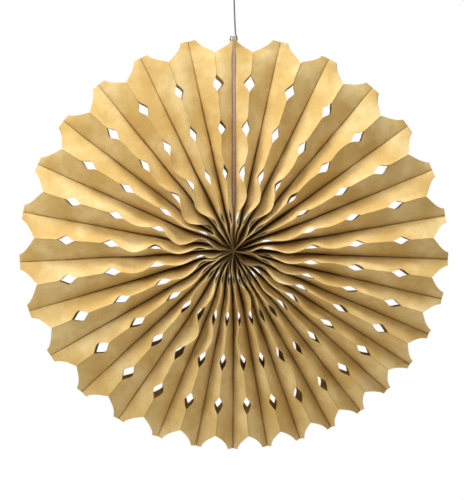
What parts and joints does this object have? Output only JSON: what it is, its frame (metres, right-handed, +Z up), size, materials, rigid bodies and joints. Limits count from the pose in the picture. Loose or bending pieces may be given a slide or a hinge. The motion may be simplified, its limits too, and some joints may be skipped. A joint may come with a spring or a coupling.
{
  "type": "paper fan decoration",
  "caption": "Round hanging paper fan: a full circle of closed, folded paper cells with die-cut diamond openings and a scalloped rim, closed by end cards, on a thread with a loop.",
  "frame": {"origin": "the point where the hanging loop sits on its hook, inside the loop's top", "axes": "+Z up, -Y out of the fan's front face towards the viewer, +X to the viewer's right"},
  "size_m": [0.3, 0.0499, 0.3453],
  "materials": {
    "gold_paper": "soft satin",
    "end_card": "matt",
    "seam_tape": "matt",
    "thread": "matt"
  },
  "bodies": {
    "root": {"cell_01": "gold_paper", "cell_02": "gold_paper", "cell_03": "gold_paper", "cell_04": "gold_paper", "cell_05": "gold_paper", "cell_06": "gold_paper", "cell_07": "gold_paper", "cell_08": "gold_paper", "cell_09": "gold_paper", "cell_10": "gold_paper", "cell_11": "gold_paper", "cell_12": "gold_paper", "cell_13": "gold_paper", "cell_14": "gold_paper", "cell_15": "gold_paper", "cell_16": "gold_paper", "cell_17": "gold_paper", "cell_18": "gold_paper", "cell_19": "gold_paper", "cell_20": "gold_paper", "cell_21": "gold_paper", "cell_22": "gold_paper", "cell_23": "gold_paper", "cell_24": "gold_paper", "cell_25": "gold_paper", "cell_26": "gold_paper", "cell_27": "gold_paper", "cell_28": "gold_paper", "cell_29": "gold_paper", "cell_30": "gold_paper", "end_card_left": "end_card", "end_card_right": "end_card", "hanging_loop": "thread", "hanging_thread": "thread", "loop_knot": "thread", "seam_tape": "seam_tape", "stop_knot": "thread"}
  },
  "joints": []
}
